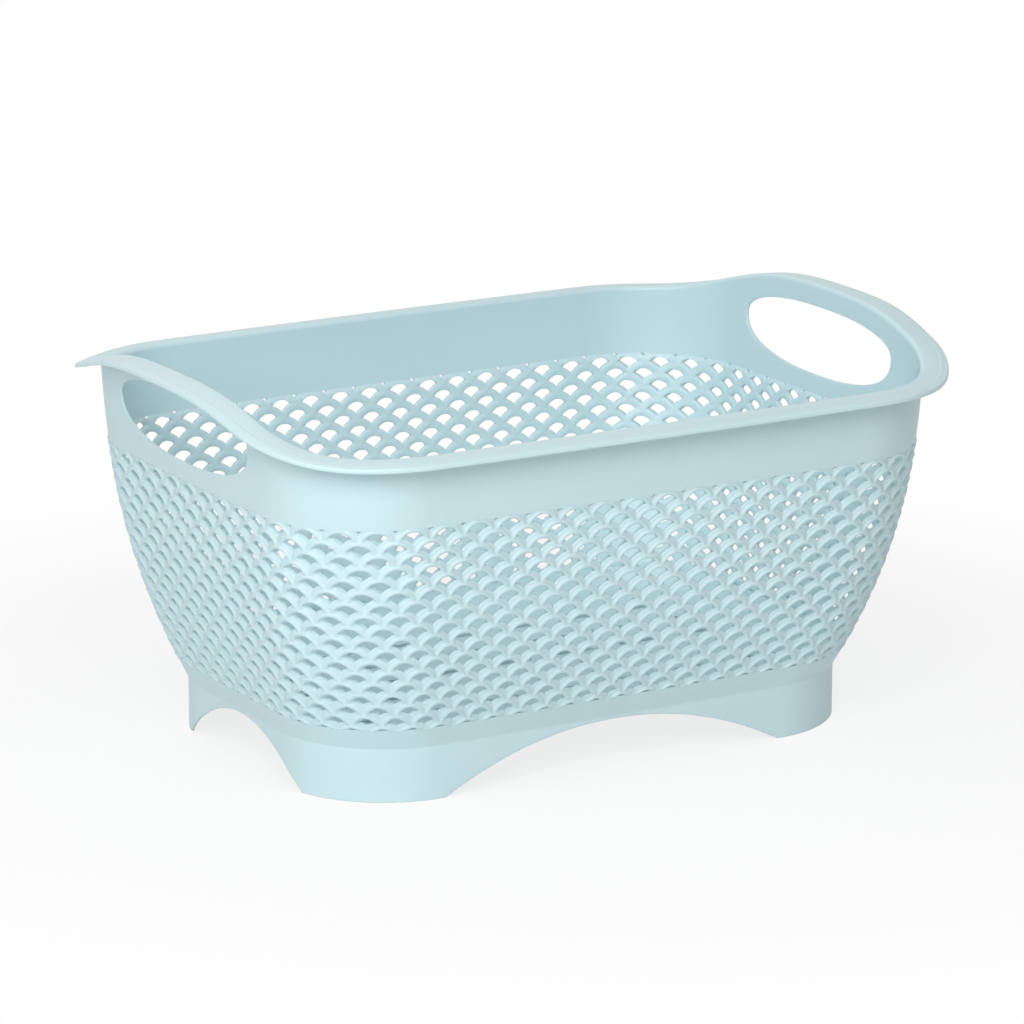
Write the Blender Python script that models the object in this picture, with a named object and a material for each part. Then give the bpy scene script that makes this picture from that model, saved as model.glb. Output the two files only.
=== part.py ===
"""Moulded laundry basket with a wavy rim, two hand holes and a fish-scale lattice wall.

The real basket is one moulding. Each section between two of its natural lines is a solid
of its own here, a small gap away from its neighbours. X runs along the long sides, Y across,
Z up, in metres. The origin is on the ground, under the middle of the basket.

A place on the wall is given by its turn and its height. The turn counts quarters of the way
round: 0 at the middle of the front, 1 at the right end, 2 at the back and 3 at the left end.
"""

import math

import bmesh
import bpy
from mathutils import Vector
from mathutils.geometry import delaunay_2d_cdt

# Outer face of the wall at the crease above the feet
BASE_LENGTH = 0.4564
BASE_WIDTH = 0.2982
BASE_CORNER_RADIUS = 0.0822
BASE_END_BOW = 0.0027
BASE_SIDE_BOW = 0.0016

# Outer face of the wall where its flare ends, a little above the rim's long sides
TOP_LENGTH = 0.5400
TOP_WIDTH = 0.4026
TOP_CORNER_RADIUS = 0.0835
TOP_END_BOW = 0.0047
TOP_SIDE_BOW = 0.0038

# Heights of the bands, from the ground up
FOOT_HEIGHT = 0.0404
BASE_BAND_HEIGHT = 0.0169
LATTICE_HEIGHT = 0.1612
COLLAR_HEIGHT = 0.0551
FLARE_OVERRUN = 0.0059

# Thickness of the moulding, and the gap between two sections of it
WALL = 0.0025
GAP = 0.0003

# How the flare spreads: a straight part, and a curved part of these powers
FLARE_STRAIGHT_SHARE = 0.127
END_FLARE_POWER_SHARE = 2.42
SIDE_FLARE_POWER_SHARE = 2.18

# Flange of the rim, with a rolled inner edge and a turned-down lip
FLANGE_SIDE_WIDTH = 0.0188
FLANGE_END_WIDTH = 0.0227
FLANGE_DROP = 0.0030
FLANGE_ROLL = 0.0035
LIP_DEPTH = 0.0050
LIP_RADIUS = 0.0022

# The rim rises in a wave over each hand hole
GRIP_RISE = 0.0325
GRIP_SPAN = 0.3700
GRIP_LEAN = 0.0030
GRIP_WAVE_POWER_SHARE = 1.33

# Hand holes: the bar left above, the ledge left below, and the outline between
HAND_HOLE_WIDTH = 0.1952
GRIP_BAR = 0.0176
HOLE_LEDGE = 0.0145
HOLE_WIDEST_SHARE = 0.576
HOLE_POWER_SHARE = 2.1

# Arches between the feet: their spans, and the strip left above them
SIDE_ARCH_SPAN = 0.2850
END_ARCH_SPAN = 0.1770
ARCH_STRIP = 0.0025
ARCH_POWER_SHARE = 2.15

# Lattice: staggered rows of fan-shaped openings, as shares of their column and row
LATTICE_EDGE = 0.0020
COLUMNS_PER_QUARTER = 12
LATTICE_ROWS = 12
FAN_SHARES = ((0.0, -0.50), (0.30, 0.06), (0.17, 0.42), (-0.17, 0.42), (-0.30, 0.06))

# Floor: a plate with slots to drain and air it
FLOOR_THICKNESS = 0.0025
SLOT_LENGTH = 0.0340
SLOT_WIDTH = 0.0070
SLOT_COLUMN_STEP = 0.0560
SLOT_ROW_STEP = 0.0400
SLOT_COLUMNS = 7
SLOT_ROWS = 5

# Smoothness: steps in a quarter turn, in the half arches and the foot between them, round a
# hand hole, and along a roll
QUARTER_STEPS = 28
SIDE_ARCH_STEPS = 10
FOOT_STEPS = 14
END_ARCH_STEPS = 8
HOLE_STEPS = 36
ROLL_STEPS = 2

# Colours of the plastic: linear red, green and blue, with its roughness
RIM_COLOUR = (0.56, 0.72, 0.76, 1.0)
WALL_COLOUR = (0.50, 0.68, 0.73, 1.0)
PLASTIC_ROUGHNESS = 0.38

# Levels that follow from the bands
CREASE = FOOT_HEIGHT
LATTICE_BOTTOM = CREASE + BASE_BAND_HEIGHT
LATTICE_TOP = LATTICE_BOTTOM + LATTICE_HEIGHT
RIM_CREST = LATTICE_TOP + COLLAR_HEIGHT
FLARE_TOP = RIM_CREST + FLARE_OVERRUN
TINY_SHARE = 1e-6
MERGE_DISTANCE = WALL * TINY_SHARE


def blend(low, high, share):
    """Value that lies a share of the way from low to high."""
    return low + (high - low) * share


def wall_section(height):
    """Half-length, half-width, corner radius, end bow and side bow at a height."""
    rise = max(0.0, (height - CREASE) / (FLARE_TOP - CREASE))
    rest = max(0.0, 1.0 - rise)
    straight = FLARE_STRAIGHT_SHARE * rise
    curved = 1.0 - FLARE_STRAIGHT_SHARE
    ends = straight + curved * (1.0 - rest ** END_FLARE_POWER_SHARE)
    sides = straight + curved * (1.0 - rest ** SIDE_FLARE_POWER_SHARE)
    return (blend(BASE_LENGTH, TOP_LENGTH, ends) / 2,
            blend(BASE_WIDTH, TOP_WIDTH, sides) / 2,
            blend(BASE_CORNER_RADIUS, TOP_CORNER_RADIUS, ends),
            blend(BASE_END_BOW, TOP_END_BOW, ends),
            blend(BASE_SIDE_BOW, TOP_SIDE_BOW, sides))


def quarter_run(height):
    """Length of a quarter of the outline at a height."""
    length, width, radius, *_ = wall_section(height)
    return length - radius + width - radius + radius * math.pi / 2


def corner_turn(height):
    """Turn at which the middle of the first corner lies."""
    length, _, radius, *_ = wall_section(height)
    return (length - radius + radius * math.pi / 4) / quarter_run(height)


def wall_point(turn, height, out=0.0):
    """Point at a turn and a height, moved straight out of the wall's outer face by out."""
    length, width, radius, end_bow, side_bow = wall_section(height)
    quarter = math.floor(turn) % 4
    share = turn - math.floor(turn)
    if quarter % 2:
        share = 1.0 - share
    run = share * quarter_run(height)
    angle = min(max((run - (length - radius)) / radius, 0.0), math.pi / 2)
    normal_x, normal_y = math.sin(angle), math.cos(angle)
    past_corner = max(0.0, run - (length - radius) - radius * math.pi / 2)
    x = min(run, length - radius) + radius * normal_x
    y = width - radius + radius * normal_y - past_corner
    bowed_x = x + end_bow * x / length * (1.0 - (y / width) ** 2)
    bowed_y = y + side_bow * y / width * (1.0 - (x / length) ** 2)
    x_sign = 1.0 if quarter < 2 else -1.0
    y_sign = -1.0 if quarter in (0, 3) else 1.0
    return Vector((x_sign * (bowed_x + out * normal_x),
                   y_sign * (bowed_y + out * normal_y), height))


def grip_wave(turn):
    """Share of its full rise that the rim has at a turn: 1 over a hand hole, 0 on the sides."""
    reach = abs(wall_point(turn, RIM_CREST).y) / (GRIP_SPAN / 2)
    if reach >= 1.0:
        return 0.0
    return math.cos(math.pi / 2 * reach ** GRIP_WAVE_POWER_SHARE) ** 2


def rim_crest(turn):
    """Height of the rim's crest at a turn."""
    return RIM_CREST + GRIP_RISE * grip_wave(turn)


def collar_lean(turn, height):
    """How far the collar leans out of the wall's flare, where the rim rises over the grips."""
    rise = max(0.0, (height - LATTICE_TOP) / (RIM_CREST + GRIP_RISE - LATTICE_TOP))
    return GRIP_LEAN * grip_wave(turn) * rise ** 2


def steps(start, end, count):
    """Evenly spaced values from start to end, both included."""
    return [blend(start, end, i / count) for i in range(count + 1)]


def plastic(name, colour):
    """Moulded plastic in one colour."""
    material = bpy.data.materials.new(name)
    material.use_nodes = True
    shader = material.node_tree.nodes["Principled BSDF"]
    shader.inputs["Base Color"].default_value = colour
    shader.inputs["Roughness"].default_value = PLASTIC_ROUGHNESS
    shader.inputs["Metallic"].default_value = 0.0
    return material


def add_object(name, bm, colour):
    """Turn a closed bmesh into a named object with its faces outward and its own material."""
    bmesh.ops.recalc_face_normals(bm, faces=bm.faces)
    if bm.calc_volume(signed=True) < 0.0:
        bmesh.ops.reverse_faces(bm, faces=bm.faces)
    mesh = bpy.data.meshes.new(name)
    bm.to_mesh(mesh)
    bm.free()
    mesh.shade_smooth()
    mesh.set_sharp_from_angle(angle=math.radians(30))
    mesh.materials.append(plastic(name + "_plastic", colour))
    obj = bpy.data.objects.new(name, mesh)
    parts.objects.link(obj)
    return obj


def cut_plate(outline, openings, thickness):
    """Flat plate cut to an outline with openings, its cut face at z 0 and the rest below."""
    points, loops = [], []
    for loop in [outline] + openings:
        loops.append(list(range(len(points), len(points) + len(loop))))
        points += [Vector(point) for point in loop]
    places, _, faces, _, _, sources = delaunay_2d_cdt(points, [], loops, 1, MERGE_DISTANCE)
    bm = bmesh.new()
    verts = [bm.verts.new((place.x, place.y, 0.0)) for place in places]
    for face, source in zip(faces, sources):
        if list(source) == [0]:
            bm.faces.new([verts[i] for i in face])
    bmesh.ops.recalc_face_normals(bm, faces=bm.faces)
    plate = bmesh.ops.solidify(bm, geom=bm.faces[:], thickness=thickness)
    for vert in bm.verts:
        vert.co.z = -abs(vert.co.z)
    return bm


def wrapped_section(name, outline, openings, colour, closed=False):
    """Cut a section of the wall out flat, then bend it round the basket.

    The outline and openings are lists of turn and height. A closed section runs once round
    from turn 0 to 4, and its two ends are joined.
    """
    run = quarter_run(LATTICE_TOP)

    def flat(loop):
        return [(turn * run, height) for turn, height in loop]

    bm = cut_plate(flat(outline), [flat(opening) for opening in openings], WALL)
    if closed:
        ends = (0.0, 4 * run)
        seam = [face for face in bm.faces for end in ends
                if all(abs(vert.co.x - end) < MERGE_DISTANCE + run * TINY_SHARE for vert in face.verts)]
        bmesh.ops.delete(bm, geom=seam, context="FACES_ONLY")
    for vert in bm.verts:
        turn, height, depth = vert.co.x / run, vert.co.y, vert.co.z
        vert.co = wall_point(turn, height, collar_lean(turn, height) + depth)
    if closed:
        bmesh.ops.remove_doubles(bm, verts=bm.verts, dist=run * TINY_SHARE)
    return add_object(name, bm, colour)


def band_outline(turns, low, high):
    """Loop along the low edge of a band and back along its high edge."""
    return ([(turn, low(turn)) for turn in turns]
            + [(turn, high(turn)) for turn in reversed(turns)])


def arch_height(turn):
    """Height of the foot ring's lower edge: 0 under a foot, up to the strip in an arch."""
    place = wall_point(turn, CREASE)
    rises = (1.0 - (2 * abs(place.x) / SIDE_ARCH_SPAN) ** ARCH_POWER_SHARE,
             1.0 - (2 * abs(place.y) / END_ARCH_SPAN) ** ARCH_POWER_SHARE)
    return (FOOT_HEIGHT - ARCH_STRIP) * max(0.0, *rises)


def foot_turns():
    """Turns along the first foot, from the crown of one arch to the crown of the next."""
    run = quarter_run(CREASE)
    half_gap = GAP / 2 / run
    first, last = SIDE_ARCH_SPAN / 2 / run, 1.0 - END_ARCH_SPAN / 2 / run
    return (steps(half_gap, first, SIDE_ARCH_STEPS)[:-1] + steps(first, last, FOOT_STEPS)
            + steps(last, 1.0 - half_gap, END_ARCH_STEPS)[1:])


def make_foot(name, quarter):
    """One foot: the thin skirt round a corner, between the crowns of two arches."""
    first = foot_turns()
    mirrored = [1.0 - turn for turn in reversed(first)]
    turns = [quarter + turn for turn in (mirrored if quarter % 2 else first)]
    outline = band_outline(turns, arch_height, lambda turn: CREASE - GAP)
    return wrapped_section(name, outline, [], WALL_COLOUR)


def make_base_band():
    """Smooth slanted band between the crease and the lattice."""
    outline = band_outline(steps(0.0, 4.0, 4 * QUARTER_STEPS), lambda turn: CREASE,
                           lambda turn: LATTICE_BOTTOM - GAP)
    return wrapped_section("base_band", outline, [], WALL_COLOUR, closed=True)


def row_height(row):
    """Height of the middle of a row of openings."""
    step = (LATTICE_HEIGHT - 2 * LATTICE_EDGE) / LATTICE_ROWS
    return LATTICE_BOTTOM + LATTICE_EDGE + (row + 0.5) * step


def fan_opening(column, row):
    """One fan-shaped opening: a point below, two shoulders and a domed top."""
    step = row_height(1) - row_height(0)
    return [((column + across) / COLUMNS_PER_QUARTER, row_height(row) + up * step)
            for across, up in FAN_SHARES]


def lattice_edge(column, zigzag, side):
    """Edge of a panel, which zigzags between the openings from row to row."""
    shift = side * GAP / quarter_run(LATTICE_TOP)
    path = [((column + (zigzag if row % 2 == 0 else 0.0)) / COLUMNS_PER_QUARTER + shift,
             row_height(row)) for row in range(LATTICE_ROWS)]
    return [(path[0][0], LATTICE_BOTTOM)] + path + [(path[-1][0], LATTICE_TOP - GAP)]


def make_lattice(name, first, last, zigzag):
    """A panel of the lattice between two of its columns; its edges mirror each other."""
    left, right = lattice_edge(first, -zigzag, 1), lattice_edge(last, zigzag, -1)
    turns = [half / 2 / COLUMNS_PER_QUARTER for half in range(2 * first - 1, 2 * last + 2)]
    low = [(turn, LATTICE_BOTTOM) for turn in turns if left[0][0] < turn < right[0][0]]
    high = [(turn, LATTICE_TOP - GAP) for turn in turns if left[-1][0] < turn < right[-1][0]]
    outline = low + right + high[::-1] + left[::-1]
    openings = []
    for row in range(LATTICE_ROWS):
        reach = zigzag if row % 2 == 0 else 0.0
        start, count = first - reach + 0.5, round(last - first + 2 * reach)
        openings += [fan_opening(start + i, row) for i in range(count)]
    return wrapped_section(name, outline, openings, WALL_COLOUR)


def hand_hole(turn):
    """Outline of a hand hole: wide and rounded, its top following the rim's wave."""
    low = LATTICE_TOP + HOLE_LEDGE
    high = RIM_CREST + GRIP_RISE - GRIP_BAR
    middle = blend(low, high, HOLE_WIDEST_SHARE)
    loop = []
    for i in range(HOLE_STEPS):
        angle = 2 * math.pi * (i + 0.5) / HOLE_STEPS
        across, up = (math.copysign(abs(value) ** (2 / HOLE_POWER_SHARE), value)
                      for value in (math.cos(angle), math.sin(angle)))
        height = middle + up * (high - middle if up > 0 else middle - low)
        loop.append((turn + across * HAND_HOLE_WIDTH / 2 / quarter_run(height), height))
    return loop


def make_collar():
    """Smooth band from the lattice up to the rim, with the two hand holes."""
    outline = band_outline(steps(0.0, 4.0, 4 * QUARTER_STEPS), lambda turn: LATTICE_TOP,
                           lambda turn: rim_crest(turn) - FLANGE_ROLL - GAP)
    return wrapped_section("collar", outline, [hand_hole(1.0), hand_hole(3.0)], WALL_COLOUR,
                           closed=True)


def arc(centre_out, centre_up, radius, start, end):
    """Points of an arc in the flange's section, from one angle to another in degrees."""
    return [(centre_out + radius * math.cos(math.radians(angle)),
             centre_up + radius * math.sin(math.radians(angle)))
            for angle in steps(start, end, ROLL_STEPS)]


def flange_section(width):
    """Closed section of the rim: distance out of the wall, and height over the crest."""
    edge = -FLANGE_DROP
    return (arc(FLANGE_ROLL - WALL, -FLANGE_ROLL, FLANGE_ROLL, 180, 90)
            + arc(width - LIP_RADIUS, edge - LIP_RADIUS, LIP_RADIUS, 90, 0)
            + [(width, edge - LIP_DEPTH), (width - WALL, edge - LIP_DEPTH),
               (width - WALL, edge - WALL), (0.0, -WALL), (0.0, -FLANGE_ROLL)])


def make_flange(name, start, end):
    """A stretch of the rim between two turns, lofted along the wall's wavy top."""
    half_gap = GAP / 2 / quarter_run(RIM_CREST)
    bm = bmesh.new()
    rings = []
    count = max(2, round((end - start) * QUARTER_STEPS))
    for turn in steps(start + half_gap, end - half_gap, count):
        crest = rim_crest(turn)
        width = blend(FLANGE_SIDE_WIDTH, FLANGE_END_WIDTH, grip_wave(turn))
        lean = collar_lean(turn, crest)
        ring = []
        for out, up in flange_section(width):
            foot = wall_point(turn, crest - FLANGE_ROLL, lean + out)
            ring.append(bm.verts.new((foot.x, foot.y, crest + up)))
        rings.append(ring)
    for ring, following in zip(rings, rings[1:]):
        for i in range(len(ring)):
            bm.faces.new((ring[i - 1], ring[i], following[i], following[i - 1]))
    bm.faces.new(rings[0])
    bm.faces.new(rings[-1][::-1])
    return add_object(name, bm, RIM_COLOUR)


def slot(x, y):
    """Drain slot with pointed ends, along X."""
    length, width = SLOT_LENGTH / 2, SLOT_WIDTH / 2
    return [(x - length, y), (x - length + width, y - width), (x + length - width, y - width),
            (x + length, y), (x + length - width, y + width), (x - length + width, y + width)]


def make_floor():
    """Floor plate inside the foot of the wall, with rows of drain slots."""
    rim = [wall_point(turn, CREASE, -(WALL + GAP)).xy
           for turn in steps(0.0, 4.0, 4 * QUARTER_STEPS)[:-1]]
    slots = [slot((i - (SLOT_COLUMNS - 1) / 2) * SLOT_COLUMN_STEP,
                  (j - (SLOT_ROWS - 1) / 2) * SLOT_ROW_STEP)
             for i in range(SLOT_COLUMNS) for j in range(SLOT_ROWS)]
    bm = cut_plate(rim, slots, FLOOR_THICKNESS)
    bmesh.ops.translate(bm, verts=bm.verts, vec=(0.0, 0.0, CREASE + FLOOR_THICKNESS))
    return add_object("floor_panel", bm, WALL_COLOUR)


def build():
    """Make every section of the basket."""
    make_floor()
    for quarter, name in enumerate(("front_right", "back_right", "back_left", "front_left")):
        make_foot("foot_" + name, quarter)
    make_base_band()
    half = 2 * COLUMNS_PER_QUARTER
    corner = round(corner_turn(LATTICE_TOP) * COLUMNS_PER_QUARTER)
    make_lattice("lattice_front", -corner, corner, 0.5)
    make_lattice("lattice_right", corner, half - corner, -0.5)
    make_lattice("lattice_back", half - corner, half + corner, 0.5)
    make_lattice("lattice_left", half + corner, 2 * half - corner, -0.5)
    make_collar()
    corner = corner_turn(RIM_CREST)
    make_flange("rim_front", -corner, corner)
    make_flange("grip_right", corner, 2 - corner)
    make_flange("rim_back", 2 - corner, 2 + corner)
    make_flange("grip_left", 2 + corner, 4 - corner)


for old in list(bpy.data.objects):
    bpy.data.objects.remove(old)
parts = bpy.data.collections.new("laundry_basket")
bpy.context.scene.collection.children.link(parts)
build()
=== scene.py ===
"""Looks of the moulded laundry basket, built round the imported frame.

Every piece follows the same wall as the solids. A place on it is given by its height and by its
turn, which counts quarters of the way round from the middle of the front. Lengths are in metres.
"""

import math

import bmesh
import bpy
import numpy as np
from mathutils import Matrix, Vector
from mathutils.geometry import delaunay_2d_cdt


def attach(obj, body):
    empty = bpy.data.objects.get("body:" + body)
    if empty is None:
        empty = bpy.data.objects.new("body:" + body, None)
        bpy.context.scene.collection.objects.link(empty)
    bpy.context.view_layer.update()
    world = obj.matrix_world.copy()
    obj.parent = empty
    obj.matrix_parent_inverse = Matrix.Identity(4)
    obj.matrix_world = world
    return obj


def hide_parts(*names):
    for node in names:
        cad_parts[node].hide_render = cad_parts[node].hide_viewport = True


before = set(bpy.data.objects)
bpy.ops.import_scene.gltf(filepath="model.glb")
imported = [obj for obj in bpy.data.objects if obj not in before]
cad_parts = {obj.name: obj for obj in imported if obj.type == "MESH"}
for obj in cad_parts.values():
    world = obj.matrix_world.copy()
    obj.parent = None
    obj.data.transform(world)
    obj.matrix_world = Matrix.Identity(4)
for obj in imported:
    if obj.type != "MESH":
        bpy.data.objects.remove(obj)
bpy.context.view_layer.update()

# Outer face of the wall at the crease and where its flare ends: length, width, corner radius,
# and how far the ends and the sides bow out
BASE = (0.4564, 0.2982, 0.0822, 0.0027, 0.0016)
TOP = (0.5400, 0.4026, 0.0835, 0.0047, 0.0038)

# Heights, the wall's thickness, and the run of its flare: a straight share and a curved rest
CREASE = 0.0404
LATTICE_BOTTOM = 0.0573
LATTICE_TOP = 0.2185
RIM_CREST = 0.2716
FLARE_TOP = 0.2795
WALL = 0.0025
FLARE_STRAIGHT = 0.127
END_FLARE_POWER = 2.42
SIDE_FLARE_POWER = 2.18
CREASE_SOFTNESS = 0.0008

# Rim: a flange whose top falls outward to a groove, a low bead past the groove, and a lip turned
# down at the edge. The groove's shape is given in shares of its width and depth.
FLANGE_SIDE_WIDTH = 0.0188
FLANGE_END_WIDTH = 0.0213
FLANGE_DROP = 0.0022
FLANGE_ROLL = 0.0035
FLANGE_THICKNESS = 0.0020
FLANGE_SHARES = (0.35, 0.7, 1.0)
FLANGE_FALLS = (0.18, 0.40, 0.62)
LIP_DEPTH = 0.0038
GRIP_LIP_DEPTH = 0.0034
LIP_RADIUS = 0.0022
LIP_EDGE = 0.0006
GROOVE_INSET = 0.0068
GROOVE_WIDTH = 0.0016
GROOVE_DEPTH = 0.0002
GROOVE_FALL = 0.42
GROOVE_SHAPE = ((-0.22, 0.75), (0.0, 1.0), (0.22, 0.75), (0.5, 0.15))
BEAD_SHARES = (0.3, 0.6, 0.85)
BEAD_HEIGHT = 0.0001

# Grips, where the rim rises and leans out, and the faces to a quarter along the rim
GRIP_RISE = 0.0303
GRIP_SPAN = 0.3860
GRIP_LEAN = 0.0044
GRIP_LEAN_POWER = 1.35
GRIP_WAVE_POWER = 1.545
RIM_COLUMNS = 130
RIM_LEAST_COLUMNS = 8

# Hand holes: rounded outlines that are widest at the middle's height
HAND_HALF_WIDTH = 0.1000
HAND_LOW = LATTICE_TOP + 0.0145
HAND_HIGH = 0.2850
HAND_MIDDLE = HAND_LOW + (HAND_HIGH - HAND_LOW) * 0.59
HAND_POWER = 2.36
HAND_ROUND = 0.0011
HAND_CORNER = math.radians(38)

# Arches, and the feet between them
SIDE_ARCH_SPAN = 0.2850
END_ARCH_SPAN = 0.1770
ARCH_CROWN = CREASE - 0.0025
ARCH_POWER = 2.06
FOOT_ROUND = 0.0009
FOOT_ARCH_COLUMNS = 48
FOOT_END_COLUMNS = 36
FOOT_ROWS = 8

# The rounded hem along an arch: its last ring, how far it widens with the slope, the share of
# the way to the crease that it stops at, and the least gap between its rings there
HEM_END = 2.4
HEM_SLOPE_LIMIT = 1.6
HEM_CEILING = 0.97
HEM_GAP = 0.0002

# Collar, with a patch of rings round each hand hole, and base band
PATCH_TURN = 0.29
PATCH_COLUMNS = 56
PATCH_RINGS = 10
COLLAR_ROWS = 16
COLLAR_COLUMNS = 170
BAND_ROWS = 12
BAND_COLUMNS = 120
BAND_ROUND = 0.0004
ROUND_SHARES = (0.0, 0.12, 0.45, 1.0)

# Floor: a plate with a fillet along the wall and rows of drain slots
FLOOR_THICKNESS = 0.0025
FLOOR_FILLET = 0.0030
FLOOR_FILLET_ANGLES = (22.5, 45.0, 67.5, 90.0)
FLOOR_COLUMNS = 60
SLOT_LENGTH = 0.0340
SLOT_WIDTH = 0.0070
SLOT_COLUMNS = 7
SLOT_ROWS = 5
SLOT_COLUMN_STEP = 0.0560
SLOT_ROW_STEP = 0.0400
SLOT_END_POINTS = 9

# Fish scales: 66 columns round, and rows whose apexes lie a step apart. A scale is a round arc.
COLUMNS = 66
PITCH = 0.026
HALF = PITCH / 2
ROW_STEP = 0.0093
FIRST_APEX = 0.0613
ROWS = 19
RIDGE_WIDTH = 0.0032
WEB_WIDTH = 0.0029
RIDGE_HEIGHT = 0.0026
RECESS = 0.0016
LATTICE_DEPTH = 0.0043
SCALE_RADIUS = (HALF ** 2 + ROW_STEP ** 2) / (2 * ROW_STEP)
HALF_ANGLE = math.asin(HALF / SCALE_RADIUS)

# Where the points lie along a scale's edge and its hole's edges, and the rings between the two
ARC_SHARES = (0.0, 0.08, 0.17, 0.28, 0.42, 0.58, 0.78, 1.0)
HOLE_TOP_SHARES = (0.0, 0.12, 0.26, 0.43, 0.63, 0.81, 0.93, 1.0)
HOLE_SIDE_SHARES = (0.0, 0.07, 0.18, 0.33, 0.52, 0.72, 0.88, 1.0)
RING_SHARES = (0.0, 0.25, 0.48, 0.68, 0.84, 0.95, 1.0)
ARC_STEPS = len(ARC_SHARES) - 1
LOOP = 4 * ARC_STEPS

# Holes: points along their outlines, softness of their corners, rounding of their edges, how far
# their walls may lean aside, and the narrower, shorter holes of the rows at the bottom
HOLE_CURVE_POINTS = 200
HOLE_OUTLINE_POINTS = 720
HOLE_SOFTNESS = 0.0006
HOLE_ROUNDING = 0.0010
HOLE_BACK_ROUNDING = 0.0003
HOLE_BACK_SHARE = 0.88
HOLE_LEAN_ANGLE = 1.0
HOLE_LEAN_LIMIT = 0.55
LOW_HOLE_SHARE = 0.45
LOW_HOLE_WIDTH = 0.88
LOW_HOLE_ROWS = 10

# Hood of a scale: its rise by the distance out of the scale's edge in millimetres, the length
# over which it sets in, how far it fades along the edge, and the half-angle at which it ends
HOOD_PLACES = (-6.0, -4.6, -3.2, -2.6, -2.0, -1.4, -0.8, -0.2, 0.4, 1.0, 1.8, 2.9, 4.0, 5.5)
HOOD_RISES = (0.30, 0.50, 0.74, 0.88, 0.97, 1.0, 0.90, 0.66, 0.45, 0.33, 0.26, 0.19, 0.11, 0.0)
HOOD_TAIL = 2.8
HOOD_FADE = 0.28
HOOD_END = 1.12
HOOD_END_FADE = 0.12
MILLIMETRES = 1000

# Rows and columns of the scales whose hoods can reach the scale of row 0 in column 0
NEAR_ROWS = range(-3, 3)
NEAR_COLUMNS = range(-3, 4)

# Borders of the lattice: the height over which it evens out, and the depth of its back layer
MERGE = 0.0028
BACK_LAYER = 0.0005

# Distance within which a cut takes two points for one
TOLERANCE = 1e-7

# Welding of sheets: points to a metre, and shifts that keep places off the grid's limits
WELD_GRID = 1e6
WELD_TURN_SHIFT = 1e-4
WELD_SHIFT = 0.3141

# Angles in degrees past which an edge is shaded sharp
SHARP_ANGLE = 40.0
LATTICE_SHARP_ANGLE = 52.0

# Satin plastic: its colour, flow marks that shade it a little, and its grain
PLASTIC_COLOUR = (0.59, 0.772, 0.808)
SHADE = 0.985
BASE_SHADE = 0.98
ROUGHNESS = 0.42
RIM_ROUGHNESS = 0.36
ROUGHNESS_SPREAD = 0.04
FLOW_SCALE = 7.0
FLOW_DETAIL = 3.0
FLOW_START = 0.35
FLOW_END = 0.65
GRAIN_SCALE = 900.0
GRAIN_DETAIL = 2.0
GRAIN_STRENGTH = 0.06
GRAIN_DEPTH = 0.0002

# Studio: pale floor whose colour is mixed with white, more so away from the basket
GROUND_REACH = 12.0
GROUND_COLOUR = (0.93, 0.93, 0.93, 1.0)
SHADOW_SOFTENING = 0.80
POOL_RADIUS = 0.36
POOL_EDGE = 0.85
WORLD_STRENGTH = 0.28
LAMP_AIM = Vector((0.0, 0.0, 0.15))

# Name, azimuth and elevation in degrees, distance, size and power of each lamp
LAMPS = (("left_key", -60, 30, 3.0, 1.5, 26.5), ("front_key", -30, 35, 3.0, 1.5, 34.2),
         ("top", 0, 89.9, 3.0, 2.5, 13.5), ("back", 180, 45, 2.0, 1.5, 3.0))

# Camera at the photo's angle, in degrees, with its sensor and lens in millimetres
CAMERA_AZIMUTH = -30.278
CAMERA_ELEVATION = 14.831
CAMERA_DISTANCE = 4.031
CAMERA_TARGET = Vector((0.0009, 0.0013, 0.1594))
CAMERA_SENSOR = 36.0
CAMERA_LENS = 188.956
CAMERA_REACH = 100.0


def blend(low, high, share):
    """Value that lies a share of the way from low to high."""
    return low + (high - low) * share


def smooth_step(value):
    """Soft step from 0 to 1."""
    value = np.clip(value, 0.0, 1.0)
    return value * value * (3.0 - 2.0 * value)


def edge_round(distance, radius):
    """How far a face falls back at a distance from its rounded edge."""
    near = np.clip(radius - distance, 0.0, radius)
    return radius - np.sqrt(radius ** 2 - near ** 2)


# The wall and the edges along it

def wall_section(height):
    """Half-length, half-width, corner radius, end bow and side bow at each height."""
    over = np.asarray(height, float) - CREASE
    rise = (np.sqrt(over ** 2 + CREASE_SOFTNESS ** 2) + over) / 2 / (FLARE_TOP - CREASE)
    rest = np.maximum(0.0, 1.0 - rise)
    straight = FLARE_STRAIGHT * rise
    ends = straight + (1.0 - FLARE_STRAIGHT) * (1.0 - rest ** END_FLARE_POWER)
    sides = straight + (1.0 - FLARE_STRAIGHT) * (1.0 - rest ** SIDE_FLARE_POWER)
    return (blend(BASE[0], TOP[0], ends) / 2, blend(BASE[1], TOP[1], sides) / 2,
            blend(BASE[2], TOP[2], ends), blend(BASE[3], TOP[3], ends),
            blend(BASE[4], TOP[4], sides))


def quarter_run(height):
    """Length of a quarter of the outline at a height."""
    length, width, radius, *_ = wall_section(height)
    return length - radius + width - radius + radius * math.pi / 2


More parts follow.
